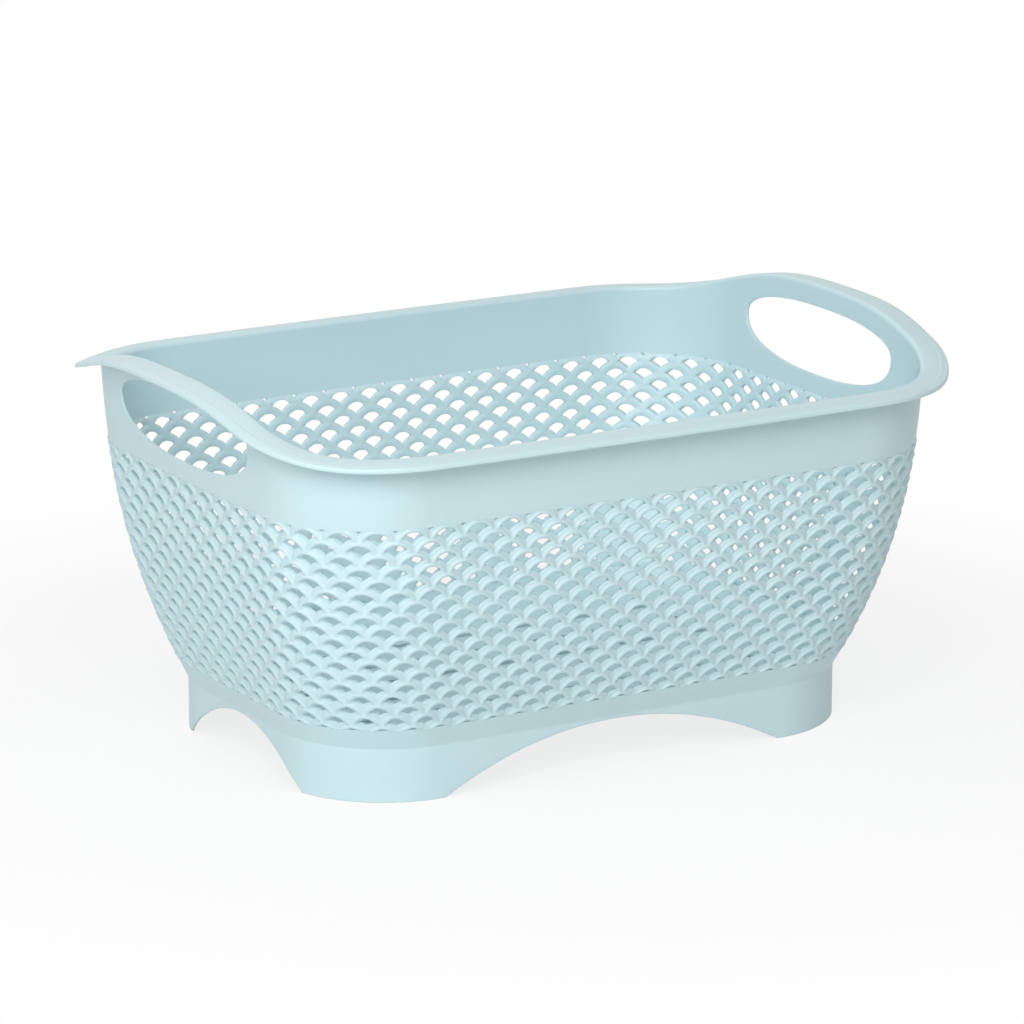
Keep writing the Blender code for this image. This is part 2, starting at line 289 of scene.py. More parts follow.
def wall_points(turn, height, out=0.0):
    """Points at turns and heights, moved straight out of the wall's outer face by out."""
    turn, height, out = np.broadcast_arrays(np.asarray(turn, float), height, out)
    length, width, radius, end_bow, side_bow = wall_section(height)
    quarter = np.floor(turn).astype(int) % 4
    share = turn - np.floor(turn)
    share = np.where(quarter % 2, 1.0 - share, share)
    run = share * quarter_run(height)
    angle = np.clip((run - (length - radius)) / radius, 0.0, math.pi / 2)
    normal_x, normal_y = np.sin(angle), np.cos(angle)
    past_corner = np.maximum(0.0, run - (length - radius) - radius * math.pi / 2)
    x = np.minimum(run, length - radius) + radius * normal_x
    y = width - radius + radius * normal_y - past_corner
    bowed_x = x + end_bow * x / length * (1.0 - (y / width) ** 2)
    bowed_y = y + side_bow * y / width * (1.0 - (x / length) ** 2)
    x_sign = np.where(quarter < 2, 1.0, -1.0)
    y_sign = np.where((quarter == 0) | (quarter == 3), -1.0, 1.0)
    return np.stack([x_sign * (bowed_x + out * normal_x), y_sign * (bowed_y + out * normal_y),
                     height], axis=-1)


def corner_turn(height):
    """Turn at which the middle of the first corner lies."""
    length, _, radius, *_ = wall_section(height)
    return float((length - radius + radius * math.pi / 4) / quarter_run(height))


def grip_wave(turn):
    """Share of its full rise that the rim has at each turn."""
    reach = np.abs(wall_points(turn, RIM_CREST)[..., 1]) / (GRIP_SPAN / 2)
    return np.cos(math.pi / 2 * np.minimum(reach, 1.0) ** GRIP_WAVE_POWER) ** 2


def rim_crest(turn):
    """Height of the rim's crest at each turn."""
    return RIM_CREST + GRIP_RISE * grip_wave(turn)


def collar_top(turn):
    """Height at which the collar goes over into the rim."""
    return rim_crest(turn) - FLANGE_ROLL


def collar_lean(turn, height):
    """How far the collar leans out of the wall's flare where the rim rises."""
    rise = np.maximum(0.0, (height - LATTICE_TOP) / (RIM_CREST + GRIP_RISE - LATTICE_TOP))
    return GRIP_LEAN * grip_wave(turn) * rise ** GRIP_LEAN_POWER


def arch_height(turn):
    """Height of the foot ring's lower edge at each turn."""
    place = wall_points(turn, CREASE)
    side = 1.0 - (2 * np.abs(place[..., 0]) / SIDE_ARCH_SPAN) ** ARCH_POWER
    end = 1.0 - (2 * np.abs(place[..., 1]) / END_ARCH_SPAN) ** ARCH_POWER
    return ARCH_CROWN * np.maximum(0.0, np.maximum(side, end))


# Meshes

def add_piece(name, verts, faces, material, nodes, sharp=SHARP_ANGLE):
    """Make a mesh piece that stands for CAD nodes and rides on the basket's one body."""
    mesh = bpy.data.meshes.new(name)
    mesh.from_pydata(np.asarray(verts).tolist(), [], [list(map(int, face)) for face in faces])
    mesh.validate()
    mesh.shade_smooth()
    mesh.set_sharp_from_angle(angle=math.radians(sharp))
    mesh.materials.append(material)
    piece = bpy.data.objects.new(name, mesh)
    bpy.context.scene.collection.objects.link(piece)
    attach(piece, "root")
    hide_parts(*nodes)


def open_edges(faces):
    """Directed edges that only one face uses."""
    edges = {(face[i - 1], face[i]) for face in faces for i in range(len(face))}
    return [(a, b) for a, b in edges if (b, a) not in edges]


def ring_faces(previous, current):
    """Faces between two rings of vertex numbers that run the same way round."""
    return [(previous[i - 1], previous[i], current[i], current[i - 1])
            for i in range(len(current))]


def grid_quads(rows, columns):
    """Faces of a grid of points in rows, seen from outside the wall."""
    base = np.arange(rows * columns).reshape(rows, columns)
    return np.stack([base[:-1, :-1], base[:-1, 1:], base[1:, 1:], base[1:, :-1]],
                    axis=-1).reshape(-1, 4)


def weld(turn, height, quads):
    """Merge the points of a sheet that lie at one place, going round past turn 4."""
    places = np.stack([(turn + WELD_TURN_SHIFT) % 4.0, height], axis=-1)
    keys = np.round(places * WELD_GRID + WELD_SHIFT).astype(np.int64)
    _, first, index = np.unique(keys, axis=0, return_index=True, return_inverse=True)
    return turn[first], height[first], index.reshape(-1)[np.asarray(quads)]


def shell(turn, height, outer, inner, quads):
    """Vertices and faces of a closed wall between an outer and an inner sheet."""
    count = len(turn)
    verts = np.concatenate([wall_points(turn, height, outer), wall_points(turn, height, inner)])
    faces = [tuple(quad) for quad in quads]
    closing = [(b, a, a + count, b + count) for a, b in open_edges(faces)]
    return verts, faces + [tuple(i + count for i in reversed(face)) for face in faces] + closing


# Scale pattern: columns count half a pitch each, and the apex of row 0 in column 0 is at (0, 0)

def scale_arc(index):
    """Offset from a scale's apex of a point on its outer edge, at a signed index."""
    angle = HALF_ANGLE * ARC_SHARES[abs(index)]
    return (math.copysign(SCALE_RADIUS * math.sin(angle), index),
            SCALE_RADIUS * (math.cos(angle) - 1.0))


def loop_keys(row, column):
    """The border of a scale as (row, column, index on that scale's outer edge)."""
    n = ARC_STEPS
    return ([(row - 1, column - 1, 0)] + [(row, column, i) for i in range(1 - n, n)]
            + [(row - 1, column + 1, 0)] + [(row - 1, column + 1, -i) for i in range(1, n)]
            + [(row - 2, column, 0)] + [(row - 1, column - 1, i) for i in range(n - 1, 0, -1)])


def key_offset(key):
    """Place of a border point in the pattern."""
    row, column, index = key
    across, up = scale_arc(index)
    return column * HALF + across, row * ROW_STEP + up


def hole_outline():
    """Right half of a hole's outline from its top to its tip, before its corners are softened.

    It follows the inside of the scale's ridge, and then the web along the next scale.
    """
    inner, outer = SCALE_RADIUS - RIDGE_WIDTH, SCALE_RADIUS + WEB_WIDTH
    span = math.hypot(HALF, ROW_STEP)
    along = (inner ** 2 - outer ** 2 + span ** 2) / (2 * span)
    aside = math.sqrt(inner ** 2 - along ** 2)
    shoulder = (along * HALF / span + aside * ROW_STEP / span,
                -SCALE_RADIUS - along * ROW_STEP / span + aside * HALF / span)
    top_angle = math.atan2(shoulder[0], shoulder[1] + SCALE_RADIUS)
    centre = (HALF, -ROW_STEP - SCALE_RADIUS)
    tip = centre[1] + math.sqrt(outer ** 2 - HALF ** 2)
    start, end = (math.atan2(y - centre[1], x - centre[0]) for x, y in (shoulder, (0.0, tip)))
    top = [(inner * math.sin(a), inner * math.cos(a) - SCALE_RADIUS)
           for a in np.linspace(0.0, top_angle, HOLE_CURVE_POINTS)]
    side = [(centre[0] + outer * math.cos(a), centre[1] + outer * math.sin(a))
            for a in np.linspace(start, end, HOLE_CURVE_POINTS)]
    return np.array(top + side[1:])


def hole_loop():
    """Outline of a hole, matched point by point with the border of its scale."""
    right = hole_outline()
    ring = np.concatenate([right, right[-2:0:-1] * (-1, 1), right[:1]])
    lengths = np.linalg.norm(np.diff(ring, axis=0), axis=1)
    travel = np.concatenate([[0.0], np.cumsum(lengths)])
    total = travel[-1]
    even = np.linspace(0.0, total, HOLE_OUTLINE_POINTS, endpoint=False)
    dense = np.stack([np.interp(even, travel, ring[:, i]) for i in (0, 1)], axis=1)
    reach = np.minimum(even, total - even)
    kernel = np.exp(-(reach / HOLE_SOFTNESS) ** 2 / 2)
    kernel /= kernel.sum()
    smooth = np.stack([np.real(np.fft.ifft(np.fft.fft(dense[:, i]) * np.fft.fft(kernel)))
                       for i in (0, 1)], axis=1)
    corner, half = travel[HOLE_CURVE_POINTS - 1], total / 2
    right_places = ([corner * share for share in HOLE_TOP_SHARES]
                    + [blend(corner, half, share) for share in HOLE_SIDE_SHARES[1:]])
    places = ([total - place for place in right_places[ARC_STEPS:0:-1]] + right_places
              + [total - place for place in right_places[-2:ARC_STEPS:-1]])
    places = np.array(places) % total
    wrapped = np.vstack([smooth, smooth[:1]])
    stops = np.append(even, total)
    return np.stack([np.interp(places, stops, wrapped[:, i]) for i in (0, 1)], axis=1)


def row_hole(hole, row):
    """Outline of a row's holes, which are narrower and shorter in the rows at the bottom."""
    shoulder = hole[np.abs(hole[:, 0]).argmax(), 1]
    rise = smooth_step(row / LOW_HOLE_ROWS)
    under = np.minimum(hole[:, 1] - shoulder, 0.0)
    return np.stack([hole[:, 0] * blend(LOW_HOLE_WIDTH, 1.0, rise),
                     hole[:, 1] - under * (1.0 - blend(LOW_HOLE_SHARE, 1.0, rise))], axis=-1)


def relief(x, y):
    """Height of the highest hood at each place, which lies near row 0 and column 0."""
    x, y = np.asarray(x, float), np.asarray(y, float)
    best = np.zeros(np.broadcast(x, y).shape)
    for row in NEAR_ROWS:
        for column in NEAR_COLUMNS:
            if (row + column) % 2:
                continue
            across = x - column * HALF
            up = y - row * ROW_STEP + SCALE_RADIUS
            out = (np.hypot(across, up) - SCALE_RADIUS) * MILLIMETRES
            angle = np.abs(np.arctan2(across, up)) / HALF_ANGLE
            along = 1.0 - HOOD_FADE * np.minimum(angle, 1.0) ** 2
            along *= np.clip((HOOD_END - angle) / HOOD_END_FADE, 0.0, 1.0)
            below = np.clip((out - HOOD_PLACES[0]) / HOOD_TAIL, 0.0, 1.0)
            best = np.maximum(best, np.interp(out, HOOD_PLACES, HOOD_RISES) * along * below)
    return RIDGE_HEIGHT * best


def scale_rings(hole):
    """Rings of a scale with their depths, from next to its border round to the wall's back."""
    loop = np.array([key_offset(key) for key in loop_keys(0, 0)])
    rings = []
    for share in RING_SHARES[1:]:
        ring = blend(loop, hole, share)
        fall = edge_round((1.0 - share) * RIDGE_WIDTH, HOLE_ROUNDING)
        rings.append((ring, relief(ring[:, 0], ring[:, 1]) - RECESS - fall))
    return rings + [(hole, np.full(LOOP, HOLE_BACK_ROUNDING - LATTICE_DEPTH)),
                    (blend(loop, hole, HOLE_BACK_SHARE), np.full(LOOP, -LATTICE_DEPTH))]


def fold(x, y):
    """The same place of the pattern, moved next to the apex of row 0 in column 0."""
    row = round(y / ROW_STEP)
    column = round((x / HALF - row % 2) / 2) * 2 + row % 2
    return x - column * HALF, y - row * ROW_STEP


def across_turn(across):
    """Turn of a place in the pattern."""
    return across / PITCH / (COLUMNS / 4)


def draw_lean(turn, height):
    """How far a hole's wall leans aside for each metre of depth, as its slide is drawn."""
    length, width, radius, *_ = wall_section(height)
    side = round(turn)
    straight = (width if side % 2 else length) - radius
    angle = max(0.0, abs(turn - side) * quarter_run(height) - straight) / radius
    lean = min(math.tan(min(angle, HOLE_LEAN_ANGLE)), HOLE_LEAN_LIMIT)
    return math.copysign(lean, turn - side)


def panel_tiles(even, odd):
    """Row and column of each scale in a panel, given the first and last column of its rows."""
    tiles = []
    for row in range(ROWS):
        first, last = odd if row % 2 else even
        tiles += [(row, column) for column in range(first, last + 1, 2)]
    return tiles


def panel_sheet(tiles):
    """Places, depths and faces of a flat panel of scales with its front, holes and back."""
    border = {}
    for row, column in tiles:
        for key in loop_keys(row, column):
            border.setdefault(key, len(border))
    count = len(border)
    places = [key_offset(key) for key in border]
    depths = list(relief(*np.array([fold(*place) for place in places]).T) - RECESS)
    places, depths = places * 2, depths + [-LATTICE_DEPTH] * count
    hole = hole_loop()
    row_rings = [scale_rings(row_hole(hole, row)) for row in range(ROWS)]
    faces = []
    for row, column in tiles:
        keys = [border[key] for key in loop_keys(row, column)]
        shift = np.array([column * HALF, row * ROW_STEP])
        lean = draw_lean(across_turn(shift[0]), shift[1] + FIRST_APEX) * LATTICE_DEPTH
        shifts = [shift] * (len(RING_SHARES) - 1) + [shift + (lean, 0.0)] * 2
        previous = keys
        for (ring, depth), moved in zip(row_rings[row], shifts):
            current = list(range(len(places), len(places) + LOOP))
            places += (ring + moved).tolist()
            depths += depth.tolist()
            faces += ring_faces(previous, current)
            previous = current
        faces += ring_faces(previous, [key + count for key in keys])
    outermost = open_edges([face for face in faces if max(face[:2]) < count])
    faces += [(b, a, a + count, b + count) for a, b in outermost if max(a, b) < count]
    return np.array(places), np.array(depths), faces


def lattice_panel(name, node, even, odd, material):
    """A panel of scales, whole scales wide, cut off level with the bands above and below."""
    places, depths, faces = panel_sheet(panel_tiles(even, odd))
    turn, height = across_turn(places[:, 0]), places[:, 1] + FIRST_APEX
    upper = smooth_step((height - LATTICE_TOP) / MERGE + 1.0)
    lower = smooth_step((LATTICE_BOTTOM - height) / MERGE + 1.0)
    depths = np.where(depths < BACK_LAYER - LATTICE_DEPTH,
                      depths + (LATTICE_DEPTH - WALL) * np.maximum(upper, lower),
                      blend(depths, np.maximum(depths, 0.0), upper))
    bm = bmesh.new()
    made = [bm.verts.new(vert) for vert in wall_points(turn, height, depths).tolist()]
    for face in faces:
        bm.faces.new([made[i] for i in face])
    for level, up in ((LATTICE_BOTTOM, -1.0), (LATTICE_TOP, 1.0)):
        cut = bmesh.ops.bisect_plane(bm, geom=bm.verts[:] + bm.edges[:] + bm.faces[:],
                                     dist=TOLERANCE, plane_co=(0, 0, level),
                                     plane_no=(0, 0, up), clear_outer=True)
        edges = [item for item in cut["geom_cut"] if isinstance(item, bmesh.types.BMEdge)]
        bmesh.ops.edgeloop_fill(bm, edges=edges)
    bmesh.ops.recalc_face_normals(bm, faces=bm.faces)
    bm.verts.index_update()
    verts = [vert.co[:] for vert in bm.verts]
    faces = [[vert.index for vert in face.verts] for face in bm.faces]
    bm.free()
    add_piece(name, verts, faces, material, [node], LATTICE_SHARP_ANGLE)


# Smooth bands

def hand_reach(above):
    """Distance from a hand hole's widest place to its top, or else to its foot."""
    return np.where(above, HAND_HIGH - HAND_MIDDLE, HAND_MIDDLE - HAND_LOW)


def hand_hole(count_across, count_up):
    """Offsets of a hand hole's outline, matched with a border of that many steps a side."""
    corner = HAND_CORNER
    angles = np.concatenate([
        np.linspace(-math.pi + corner, -corner, count_across + 1)[:-1],
        np.linspace(-corner, corner, count_up + 1)[:-1],
        np.linspace(corner, math.pi - corner, count_across + 1)[:-1],
        np.linspace(math.pi - corner, math.pi + corner, count_up + 1)[:-1]])
    across, up = (np.copysign(np.abs(value) ** (2 / HAND_POWER), value)
                  for value in (np.cos(angles), np.sin(angles)))
    height = HAND_MIDDLE + up * hand_reach(up > 0)
    return across * HAND_HALF_WIDTH / quarter_run(height), height


def hand_distance(turn, height):
    """Distance from the edge of the nearest hand hole, which holds good close to that edge."""
    nearest = np.round((turn - 1.0) / 2.0) * 2.0 + 1.0
    across = (turn - nearest) * quarter_run(height) / HAND_HALF_WIDTH
    up = (height - HAND_MIDDLE) / hand_reach(height > HAND_MIDDLE)
    level = (np.abs(across) ** HAND_POWER + np.abs(up) ** HAND_POWER) ** (1 / HAND_POWER)
    radial = np.hypot(across * HAND_HALF_WIDTH, up * (HAND_HIGH - HAND_LOW) / 2)
    return radial * (1.0 - 1.0 / level)


def collar_stretch(centre):
    """Sheet of the collar from the patch round one hand hole to the patch round the next."""
    columns = centre + np.linspace(PATCH_TURN, 2 - PATCH_TURN, COLLAR_COLUMNS + 1)
    share = np.linspace(0.0, 1.0, COLLAR_ROWS + 1)
    height = blend(LATTICE_TOP, collar_top(columns)[None, :], share[:, None])
    turn = np.broadcast_to(columns, height.shape)
    return turn.ravel(), height.ravel(), grid_quads(*height.shape)


def collar_patch(centre):
    """Sheet of rings from a hand hole's edge out to the four sides of its patch."""
    patch = np.linspace(-PATCH_TURN, PATCH_TURN, PATCH_COLUMNS + 1)
    left, right = centre - PATCH_TURN, centre + PATCH_TURN
    border_turn = np.concatenate([centre + patch[:-1], np.full(COLLAR_ROWS, right),
                                  centre + patch[:0:-1], np.full(COLLAR_ROWS, left)])
    side = blend(LATTICE_TOP, float(collar_top(right)), np.linspace(0.0, 1.0, COLLAR_ROWS + 1))
    border_height = np.concatenate([np.full(PATCH_COLUMNS, LATTICE_TOP), side[:-1],
                                    collar_top(centre + patch[:0:-1]), side[:0:-1]])
    across, hole_height = hand_hole(PATCH_COLUMNS, COLLAR_ROWS)
    reach = np.hypot((border_turn - centre - across) * quarter_run(hole_height),
                     border_height - hole_height)
    hem = [HAND_ROUND * value / reach for value in ROUND_SHARES]
    inward = [blend(hem[-1], 1.0, value) for value in np.linspace(0.0, 1.0, PATCH_RINGS + 1)[1:]]
    rings = np.array(hem + inward)
    turn = blend(centre + across, border_turn, rings)
    height = blend(hole_height, border_height, rings)
    base = np.arange(turn.size).reshape(turn.shape)
    after = np.roll(base, -1, axis=1)
    quads = np.stack([base[1:], after[1:], after[:-1], base[:-1]], axis=-1).reshape(-1, 4)
    return turn.ravel(), height.ravel(), quads


def make_collar(material):
    """Smooth band under the rim, with two hand holes and rounded edges."""
    sheets = [make(centre) for centre in (1.0, 3.0) for make in (collar_stretch, collar_patch)]
    turns, heights, quads = zip(*sheets)
    starts = np.cumsum([0] + [len(turn) for turn in turns])
    turn, height, quads = weld(np.concatenate(turns), np.concatenate(heights),
                               np.concatenate([part + at for part, at in zip(quads, starts)]))
    fall = edge_round(hand_distance(turn, height), HAND_ROUND)
    lean = collar_lean(turn, height)
    verts, faces = shell(turn, height, lean - fall, lean - WALL + fall, quads)
    add_piece("collar_band", verts, faces, material, ["collar"])


def make_base_band(material):
    """Smooth slanted band under the lattice."""
    turns = np.linspace(0.0, 4.0, 4 * BAND_COLUMNS + 1)
    levels = np.concatenate([np.linspace(CREASE, LATTICE_BOTTOM - BAND_ROUND, BAND_ROWS + 1),
                             LATTICE_BOTTOM - BAND_ROUND * np.array(ROUND_SHARES)[-2::-1]])
    turn, height = np.broadcast_arrays(turns[None, :], levels[:, None])
    turn, height, quads = weld(turn.ravel(), height.ravel(), grid_quads(*turn.shape))
    outer = -edge_round(LATTICE_BOTTOM - height, BAND_ROUND)
    verts, faces = shell(turn, height, outer, -WALL, quads)
    add_piece("base_band_skin", verts, faces, material, ["base_band"])


def make_foot(name, quarter, material):
    """Thin skirt round a corner, between the crowns of two arches, with a rounded lower edge."""
    run = float(quarter_run(CREASE))
    first, last = SIDE_ARCH_SPAN / 2 / run, 1.0 - END_ARCH_SPAN / 2 / run
    turns = np.concatenate([np.linspace(0.0, first, FOOT_ARCH_COLUMNS + 1)[:-1],
                            np.linspace(first, last, FOOT_ARCH_COLUMNS + 1)[:-1],
                            np.linspace(last, 1.0, FOOT_END_COLUMNS + 1)])
    if quarter % 2:
        turns = 1.0 - turns[::-1]
    turns = quarter + turns
    low = arch_height(turns)
    slope = np.minimum(np.hypot(1.0, np.gradient(low, turns) / run), HEM_SLOPE_LIMIT)
    shares = np.append(ROUND_SHARES, HEM_END)[:, None]
    gaps = HEM_GAP * np.arange(len(shares))[::-1, None]
    near = np.minimum(low + FOOT_ROUND * shares * slope, blend(low, CREASE, HEM_CEILING) - gaps)
    near[0] = low
    far = blend(near[-1], CREASE, np.linspace(0.0, 1.0, FOOT_ROWS + 1)[1:, None])
    height = np.concatenate([near, far])
    fall = edge_round((height - low) / slope, FOOT_ROUND).ravel()
    turn = np.broadcast_to(turns, height.shape).ravel()
    verts, faces = shell(turn, height.ravel(), -fall, fall - WALL, grid_quads(*height.shape))
    add_piece(name + "_skirt", verts, faces, material, [name])


# Rim

def arc(centre_out, centre_up, radius, start, end, count=8):
    """Points of an arc in the rim's section, from one angle to another in degrees."""
    angles = np.radians(np.linspace(start, end, count + 1))
    return np.stack([centre_out + radius * np.cos(angles), centre_up + radius * np.sin(angles)],
                    axis=-1)


def flange_section(width, lip_depth):
    """Closed section of the rim: distance out of the wall, and height over the crest."""
    edge = -FLANGE_DROP
    groove, level = width - GROOVE_INSET, -FLANGE_DROP * GROOVE_FALL
    start, end = FLANGE_ROLL - WALL, width - LIP_RADIUS
    top = [[blend(start, groove - GROOVE_WIDTH / 2, share), level * fall / FLANGE_FALLS[-1]]
           for share, fall in zip(FLANGE_SHARES, FLANGE_FALLS)]
    dip = [[groove + GROOVE_WIDTH * across, level - GROOVE_DEPTH * deep]
           for across, deep in GROOVE_SHAPE]
    bead = [[blend(dip[-1][0], end, share),
             blend(dip[-1][1], edge, share) + BEAD_HEIGHT * math.sin(math.pi * share)]
            for share in BEAD_SHARES]
    foot = edge - lip_depth
    inside = width - FLANGE_THICKNESS
    return np.concatenate([
        arc(start, -FLANGE_ROLL, FLANGE_ROLL, 180, 90), top, dip, bead,
        arc(end, edge - LIP_RADIUS, LIP_RADIUS, 90, 0),
        arc(width - LIP_EDGE, foot + LIP_EDGE, LIP_EDGE, 0, -90, 4),
        arc(inside + LIP_EDGE, foot + LIP_EDGE, LIP_EDGE, 270, 180, 4),
        arc(inside - LIP_EDGE, edge - FLANGE_THICKNESS - LIP_EDGE, LIP_EDGE, 0, 90, 4),
        arc(LIP_EDGE, -FLANGE_THICKNESS - LIP_EDGE, LIP_EDGE, 90, 180, 3),
        [[0.0, -FLANGE_ROLL]]])


def make_rim(name, node, start, end, material):
    """A stretch of the rim, lofted along the wall's wavy top."""
    columns = max(RIM_LEAST_COLUMNS, round((end - start) * RIM_COLUMNS))
    turns = np.linspace(start, end, columns + 1)
    crest, wave = rim_crest(turns), grip_wave(turns)
    width = blend(FLANGE_SIDE_WIDTH, FLANGE_END_WIDTH, wave)
    lip = blend(LIP_DEPTH, GRIP_LIP_DEPTH, wave)
    lean = collar_lean(turns, crest)
    rings = []
    for turn, top, across, deep, shift in zip(turns, crest, width, lip, lean):
        section = flange_section(across, deep)
        ring = wall_points(turn, top - FLANGE_ROLL, shift + section[:, 0])
        ring[:, 2] = top + section[:, 1]
        rings.append(ring)
    rings = np.array(rings)
    base = np.arange(rings[..., 0].size).reshape(rings.shape[:2])
    before = np.roll(base, 1, axis=1)
    faces = np.stack([before[:-1], base[:-1], base[1:], before[1:]], axis=-1).reshape(-1, 4)
    faces = [tuple(face) for face in faces] + [tuple(base[0][::-1]), tuple(base[-1])]
    add_piece(name, rings.reshape(-1, 3), faces, material, [node])


# Floor

def slot_outline(x, y):
    """Drain slot with round ends, along X."""
    reach, radius = (SLOT_LENGTH - SLOT_WIDTH) / 2, SLOT_WIDTH / 2
    angles = np.radians(np.linspace(-90, 90, SLOT_END_POINTS))
    right = [(x + reach + radius * math.cos(a), y + radius * math.sin(a)) for a in angles]
    left = [(x - reach - radius * math.cos(a), y - radius * math.sin(a)) for a in angles]
    return right + left


def make_floor(material):
    """Floor plate with drain slots, turned up in a small fillet along the wall."""
    top = CREASE + FLOOR_THICKNESS
    turns = np.linspace(0.0, 4.0, 4 * FLOOR_COLUMNS + 1)[:-1]
    size = len(turns)
    flat = wall_points(turns, top, -WALL - FLOOR_FILLET)[:, :2]
    slots = [slot_outline((i - (SLOT_COLUMNS - 1) / 2) * SLOT_COLUMN_STEP,
                          (j - (SLOT_ROWS - 1) / 2) * SLOT_ROW_STEP)
             for i in range(SLOT_COLUMNS) for j in range(SLOT_ROWS)]
    points, loops = [], []
    for loop in [flat.tolist()] + slots:
        loops.append(list(range(len(points), len(points) + len(loop))))
        points += [Vector(point) for point in loop]
    places, _, tris, _, _, sources = delaunay_2d_cdt(points, [], loops, 1, TOLERANCE)
    kept = [tuple(face) for face, source in zip(tris, sources) if list(source) == [0]]
    count = len(places)
    verts = [(place.x, place.y, height) for height in (top, CREASE) for place in places]
    faces = kept + [tuple(i + count for i in reversed(face)) for face in kept]
    faces += [(b, a, a + count, b + count) for a, b in open_edges(kept) if max(a, b) >= size]
    previous = list(range(size))
    under = [i + count for i in previous]
    fillet = [(top + FLOOR_FILLET * (1.0 - math.cos(angle)), FLOOR_FILLET * (1.0 - math.sin(angle)))
              for angle in np.radians(FLOOR_FILLET_ANGLES)]
    for height, inward in fillet + [(CREASE, 0.0)]:
        current = list(range(len(verts), len(verts) + size))
        verts += wall_points(turns, height, -WALL - inward).tolist()
        faces += ring_faces(current, previous)
        previous = current
    faces += ring_faces(under, previous)
    add_piece("floor_plate", verts, faces, material, ["floor_panel"])


# Materials

def noise(nodes, links, place, scale, detail):
    """Socket of a noise over a place."""
    texture = nodes.new("ShaderNodeTexNoise")
    texture.inputs["Scale"].default_value = scale
    texture.inputs["Detail"].default_value = detail
    links.new(place, texture.inputs["Vector"])
    return texture.outputs["Fac"]


def plastic(name, shade, roughness):
    """Satin moulded plastic: faint flow marks in its colour and gloss, and a fine grain."""
    material = bpy.data.materials.new(name)
    material.use_nodes = True
    nodes, links = material.node_tree.nodes, material.node_tree.links
    shader = nodes["Principled BSDF"]
    place = nodes.new("ShaderNodeTexCoord").outputs["Object"]
    flow = noise(nodes, links, place, FLOW_SCALE, FLOW_DETAIL)
    tint = nodes.new("ShaderNodeValToRGB")
    for stop, position, share in zip(tint.color_ramp.elements, (FLOW_START, FLOW_END),
                                     (shade, 1.0)):
        stop.position = position
        stop.color = (*(value * share for value in PLASTIC_COLOUR), 1.0)
    links.new(flow, tint.inputs["Fac"])
    links.new(tint.outputs["Color"], shader.inputs["Base Color"])
    gloss = nodes.new("ShaderNodeMapRange")
    gloss.inputs["To Min"].default_value = roughness - ROUGHNESS_SPREAD
    gloss.inputs["To Max"].default_value = roughness + ROUGHNESS_SPREAD
    links.new(flow, gloss.inputs["Value"])
    links.new(gloss.outputs["Result"], shader.inputs["Roughness"])
    bump = nodes.new("ShaderNodeBump")
    bump.inputs["Strength"].default_value = GRAIN_STRENGTH
    bump.inputs["Distance"].default_value = GRAIN_DEPTH
    links.new(noise(nodes, links, place, GRAIN_SCALE, GRAIN_DETAIL), bump.inputs["Height"])
    links.new(bump.outputs["Normal"], shader.inputs["Normal"])
    return material


# Studio

def seen_ray(nodes, links):
    """Socket that is 1 for a ray from the camera, also by way of a gloss or through glass."""
    path = nodes.new("ShaderNodeLightPath")
    seen = path.outputs["Is Camera Ray"]
    for kind in ("Is Glossy Ray", "Is Transmission Ray"):
        either = nodes.new("ShaderNodeMath")
        either.operation = "MAXIMUM"
        links.new(seen, either.inputs[0])
        links.new(path.outputs[kind], either.inputs[1])
        seen = either.outputs[0]
    return seen


def white_where_seen(nodes, links, share_socket, plain):
    """Mix plain white light into a shader for the rays that see it, by a share."""
    share = nodes.new("ShaderNodeMath")
    share.operation = "MULTIPLY"
    links.new(seen_ray(nodes, links), share.inputs[0])
    links.new(share_socket, share.inputs[1])
    white = nodes.new("ShaderNodeEmission")
    mix = nodes.new("ShaderNodeMixShader")
    links.new(share.outputs[0], mix.inputs["Fac"])
    links.new(plain, mix.inputs[1])
    links.new(white.outputs["Emission"], mix.inputs[2])
    return mix.outputs["Shader"]


def make_ground():
    """Wide pale floor, white further out, with the basket's shadow on it."""
    mesh = bpy.data.meshes.new("studio_floor")
    size = GROUND_REACH
    mesh.from_pydata([(-size, -size, 0), (size, -size, 0), (size, size, 0), (-size, size, 0)], [],
                     [(0, 1, 2, 3)])
    material = bpy.data.materials.new("studio_floor")
    material.use_nodes = True
    nodes, links = material.node_tree.nodes, material.node_tree.links
    nodes.clear()
    paint = nodes.new("ShaderNodeBsdfDiffuse")
    paint.inputs["Color"].default_value = GROUND_COLOUR
    place = nodes.new("ShaderNodeTexCoord")
    distance = nodes.new("ShaderNodeVectorMath")
    distance.operation = "LENGTH"
    links.new(place.outputs["Object"], distance.inputs[0])
    share = nodes.new("ShaderNodeMapRange")
    share.interpolation_type = "SMOOTHSTEP"
    for name, value in (("From Min", POOL_RADIUS), ("From Max", POOL_EDGE),
                        ("To Min", SHADOW_SOFTENING), ("To Max", 1.0)):
        share.inputs[name].default_value = value
    links.new(distance.outputs["Value"], share.inputs["Value"])
    shader = white_where_seen(nodes, links, share.outputs["Result"], paint.outputs["BSDF"])
    output = nodes.new("ShaderNodeOutputMaterial")
    links.new(shader, output.inputs["Surface"])
    mesh.materials.append(material)
    ground = bpy.data.objects.new("studio_floor", mesh)
    bpy.context.scene.collection.objects.link(ground)


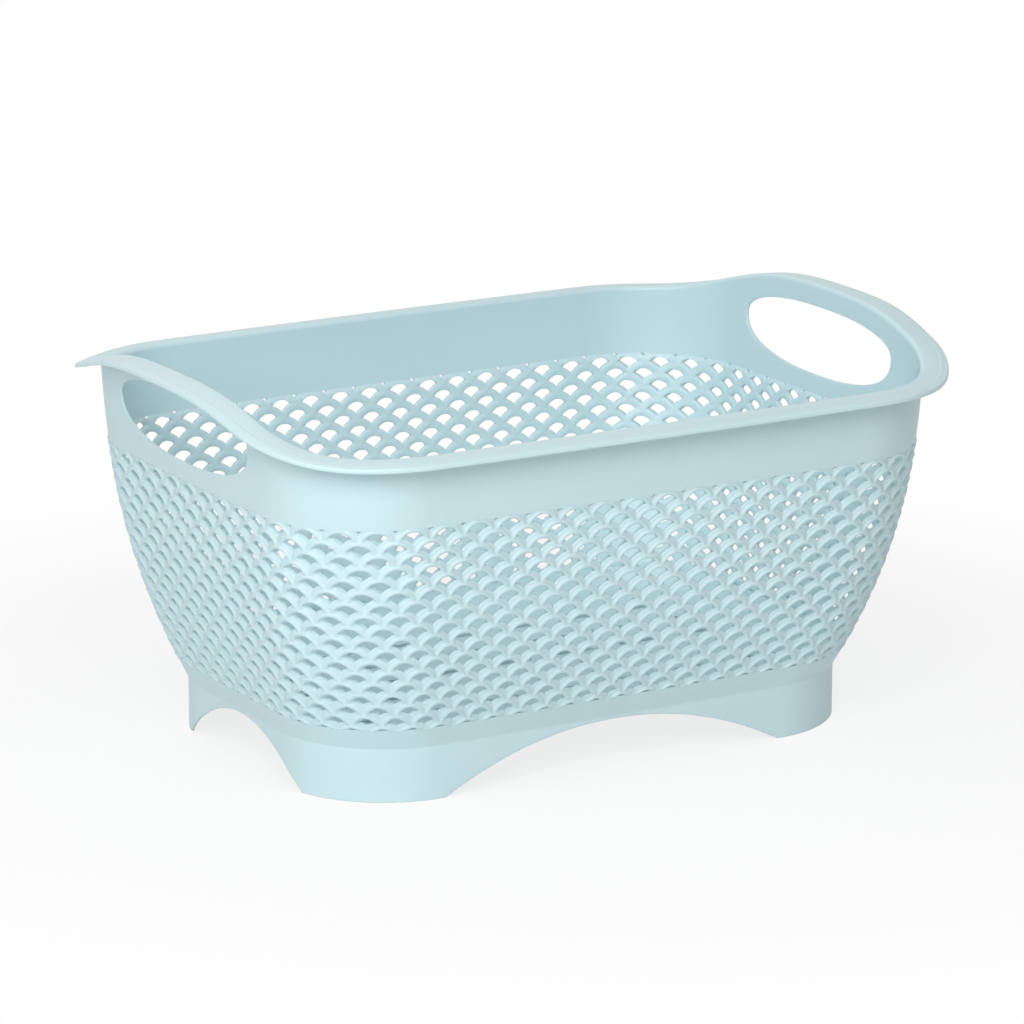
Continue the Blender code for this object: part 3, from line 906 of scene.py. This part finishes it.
def make_world():
    """Even light from all round, seen by the camera as white."""
    world = bpy.data.worlds.new("studio")
    bpy.context.scene.world = world
    world.use_nodes = True
    nodes, links = world.node_tree.nodes, world.node_tree.links
    background = nodes["Background"]
    background.inputs["Color"].default_value = (1.0, 1.0, 1.0, 1.0)
    level = nodes.new("ShaderNodeMapRange")
    level.inputs["To Min"].default_value = WORLD_STRENGTH
    level.inputs["To Max"].default_value = 1.0
    links.new(seen_ray(nodes, links), level.inputs["Value"])
    links.new(level.outputs["Result"], background.inputs["Strength"])


def place_facing(name, data, target, azimuth, elevation, distance):
    """Put a lamp or a camera at a distance from a target and turn it to face the target."""
    turn, rise = math.radians(azimuth), math.radians(elevation)
    way = Vector((math.sin(turn) * math.cos(rise), -math.cos(turn) * math.cos(rise),
                  math.sin(rise)))
    obj = bpy.data.objects.new(name, data)
    obj.location = target + way * distance
    obj.rotation_euler = (-way).to_track_quat("-Z", "Y").to_euler()
    bpy.context.scene.collection.objects.link(obj)
    return obj


def make_lamp(name, azimuth, elevation, distance, size, power):
    """Soft square lamp, aimed at the basket."""
    lamp = bpy.data.lights.new(name, "AREA")
    lamp.energy = power
    lamp.size = size
    place_facing(name, lamp, LAMP_AIM, azimuth, elevation, distance)


def make_camera():
    """Camera of the scene."""
    camera = bpy.data.cameras.new("camera")
    camera.sensor_width = CAMERA_SENSOR
    camera.lens = CAMERA_LENS
    camera.clip_end = CAMERA_REACH
    bpy.context.scene.camera = place_facing("camera", camera, CAMERA_TARGET, CAMERA_AZIMUTH,
                                            CAMERA_ELEVATION, CAMERA_DISTANCE)


rim_plastic = plastic("rim_satin", SHADE, RIM_ROUGHNESS)
wall_plastic = plastic("wall_satin", SHADE, ROUGHNESS)
lattice_plastic = plastic("lattice_satin", SHADE, ROUGHNESS)
base_plastic = plastic("base_satin", BASE_SHADE, ROUGHNESS)

# First and last column of each panel in its even and in its odd rows
for name, node, even, odd in (("scales_front", "lattice_front", (-18, 18), (-19, 19)),
                              ("scales_right", "lattice_right", (20, 46), (21, 45)),
                              ("scales_back", "lattice_back", (48, 84), (47, 85)),
                              ("scales_left", "lattice_left", (86, 112), (87, 111))):
    lattice_panel(name, node, even, odd, lattice_plastic)
make_collar(wall_plastic)
make_base_band(base_plastic)
for quarter, foot in enumerate(("foot_front_right", "foot_back_right", "foot_back_left",
                                "foot_front_left")):
    make_foot(foot, quarter, base_plastic)
corner = corner_turn(RIM_CREST)
for name, node, start, end in (("rim_front_flange", "rim_front", -corner, corner),
                               ("grip_right_flange", "grip_right", corner, 2 - corner),
                               ("rim_back_flange", "rim_back", 2 - corner, 2 + corner),
                               ("grip_left_flange", "grip_left", 2 + corner, 4 - corner)):
    make_rim(name, node, start, end, rim_plastic)
make_floor(base_plastic)

make_ground()
make_world()
for lamp in LAMPS:
    make_lamp(*lamp)
make_camera()
bpy.context.scene.view_settings.view_transform = "Standard"
